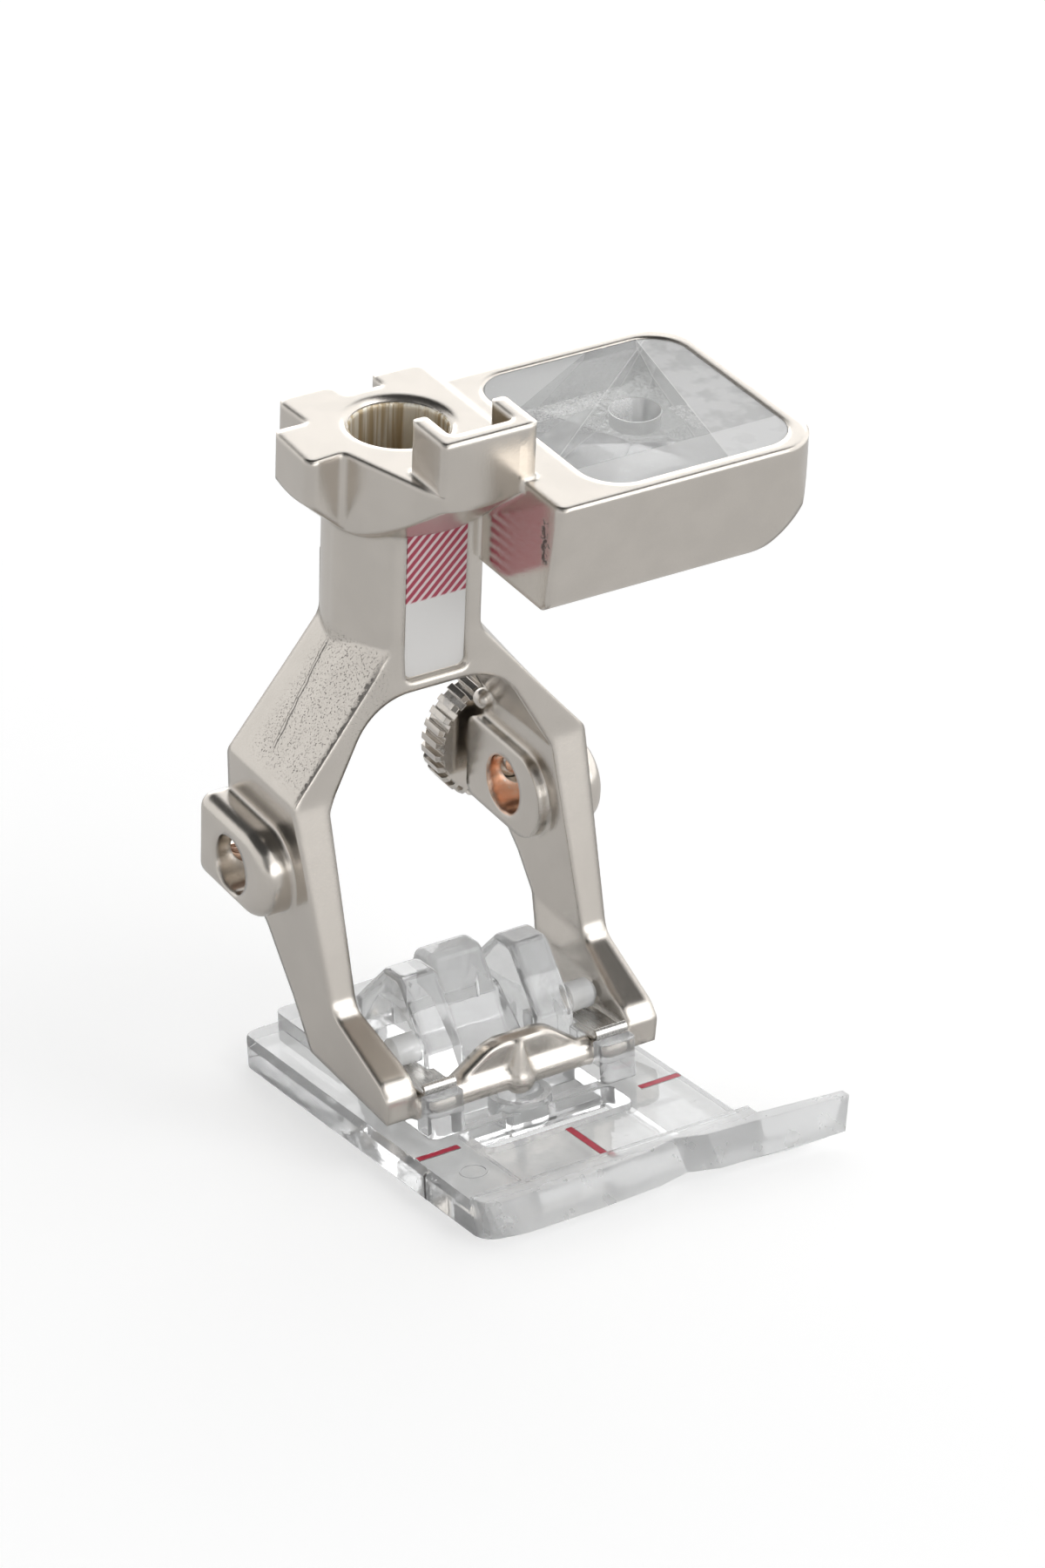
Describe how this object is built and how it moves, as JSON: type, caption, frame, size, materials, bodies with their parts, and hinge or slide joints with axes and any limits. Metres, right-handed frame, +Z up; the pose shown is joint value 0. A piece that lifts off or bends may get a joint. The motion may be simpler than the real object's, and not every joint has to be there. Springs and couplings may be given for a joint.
{
  "type": "sewing machine presser foot",
  "caption": "Presser foot with a forked plated yoke, a side housing with a clear prism, a knurled clamp screw and a clear tilting sole with an upturned toe.",
  "frame": {"origin": "underside of the sole, straight below the axis of the cross bar and on the yoke's middle plane", "axes": "+X to the side that carries the prism housing and the long toe, +Y to the rear, +Z up"},
  "size_m": [0.0326, 0.0328, 0.0434],
  "materials": {
    "plated_casting": "satin nickel plating over a die casting",
    "plated_screw": "polished nickel plating",
    "clear_plastic": "clear moulded plastic, frosted at the lip",
    "clear_prism": "clear, polished",
    "spring_steel": "polished",
    "printed_label": "printed stripes above a bare field",
    "red_paint": "paint in shallow grooves"
  },
  "bodies": {
    "sole": {"clear_sole": "clear_plastic", "leaf_spring_left": "spring_steel", "leaf_spring_right": "spring_steel", "mark_left": "red_paint", "mark_right": "red_paint", "mark_centre": "red_paint"},
    "yoke": {"frame": "plated_casting", "lens_prism": "clear_prism", "label": "printed_label"},
    "screw": {"thumb_screw": "plated_screw"}
  },
  "joints": [
    {"name": "sole_tilt", "type": "hinge", "parent": "sole", "child": "yoke", "pos_m": [0, 0, 0.00335], "axis": [1, 0, 0], "range_deg": [-11.5, 10]},
    {"name": "clamp_screw_turn", "type": "hinge", "parent": "yoke", "child": "screw", "pos_m": [0.0093, 0.0161, 0.01607], "axis": [0, 0.989, 0.1478], "continuous": true}
  ]
}
